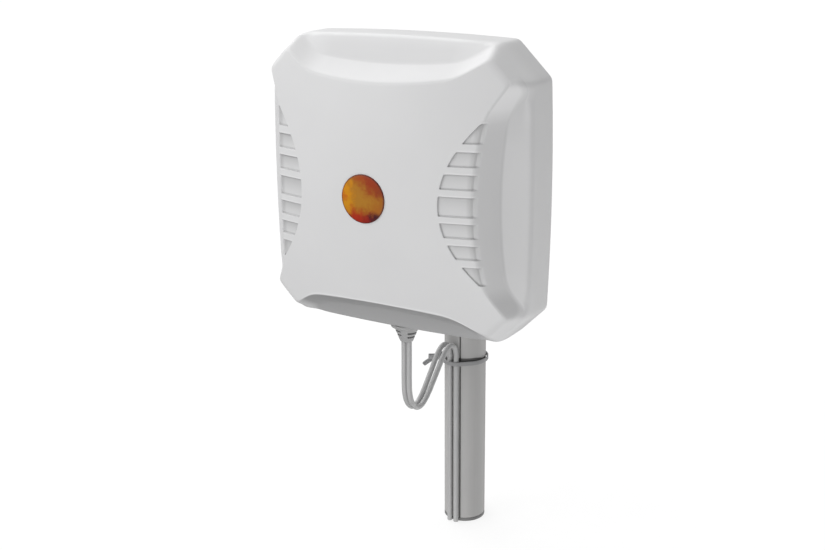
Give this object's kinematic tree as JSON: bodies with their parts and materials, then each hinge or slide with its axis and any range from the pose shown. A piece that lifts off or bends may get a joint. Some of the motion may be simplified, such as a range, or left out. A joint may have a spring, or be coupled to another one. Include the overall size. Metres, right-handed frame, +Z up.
{
  "type": "panel antenna",
  "caption": "Square flat panel directional antenna with scooped radome, twin coaxial leads, tilt bracket and mast clamp on a round mast.",
  "frame": {"origin": "centre of the mast foot", "axes": "+Z up along the mast, -Y the way the antenna's face looks, +X to the right seen from the front"},
  "size_m": [0.3052, 0.2486, 0.5886],
  "materials": {
    "radome": "fine satin moulding",
    "cover": "satin",
    "gasket": "matt",
    "steel": "zinc plated",
    "bracket": "galvanised",
    "badge": "glossy domed resin",
    "sheet": "satin",
    "board": "solder mask",
    "nylon": "natural",
    "cable": "satin jacket",
    "boot": "matt",
    "mast": "satin grey",
    "cap": "matt",
    "tie": "satin"
  },
  "bodies": {
    "mast": {"cable_a_mast_run": "cable", "cable_a_slack_loop": "cable", "cable_b_mast_run": "cable", "cable_b_slack_loop": "cable", "cable_tie": "tie", "mast_foot_plug": "cap", "mast_top_cap": "cap", "mast_tube": "mast"},
    "clamp": {"mast_bracket": "bracket", "pivot_bolt": "steel", "pivot_nut": "steel", "saddle_lower": "bracket", "saddle_upper": "bracket", "tilt_lock_bolt": "steel", "tilt_lock_nut": "steel", "u_bolt_lower": "steel", "u_bolt_nut_lower_left": "steel", "u_bolt_nut_lower_right": "steel", "u_bolt_nut_upper_left": "steel", "u_bolt_nut_upper_right": "steel", "u_bolt_upper": "steel"},
    "panel": {"badge": "badge", "boot_nut": "nylon", "bracket_screw_1": "steel", "bracket_screw_2": "steel", "bracket_screw_3": "steel", "bracket_screw_4": "steel", "cable_a_panel_lead": "cable", "cable_b_panel_lead": "cable", "cable_boot": "boot", "cover_screw_1": "steel", "cover_screw_10": "steel", "cover_screw_2": "steel", "cover_screw_3": "steel", "cover_screw_4": "steel", "cover_screw_5": "steel", "cover_screw_6": "steel", "cover_screw_7": "steel", "cover_screw_8": "steel", "cover_screw_9": "steel", "director_patch_inner": "sheet", "director_patch_outer": "sheet", "driven_patch": "sheet", "feed_board": "board", "feed_strip_left": "sheet", "feed_strip_right": "sheet", "front_radome": "radome", "panel_bracket": "bracket", "perimeter_gasket": "gasket", "rear_cover": "cover", "reflector_tray": "sheet", "spacer_post_1": "nylon", "spacer_post_2": "nylon", "spacer_post_3": "nylon", "spacer_post_4": "nylon"}
  },
  "joints": [
    {"name": "azimuth", "type": "hinge", "parent": "mast", "child": "clamp", "pos_m": [0, 0, 0.434], "axis": [0, 0, 1], "range_deg": [-45, 45], "deforming": ["cable_a_slack_loop", "cable_b_slack_loop"]},
    {"name": "tilt", "type": "hinge", "parent": "clamp", "child": "panel", "pos_m": [0, -0.0645, 0.424], "axis": [1, 0, 0], "range_deg": [-18, 18], "deforming": ["cable_a_slack_loop", "cable_b_slack_loop"]}
  ]
}
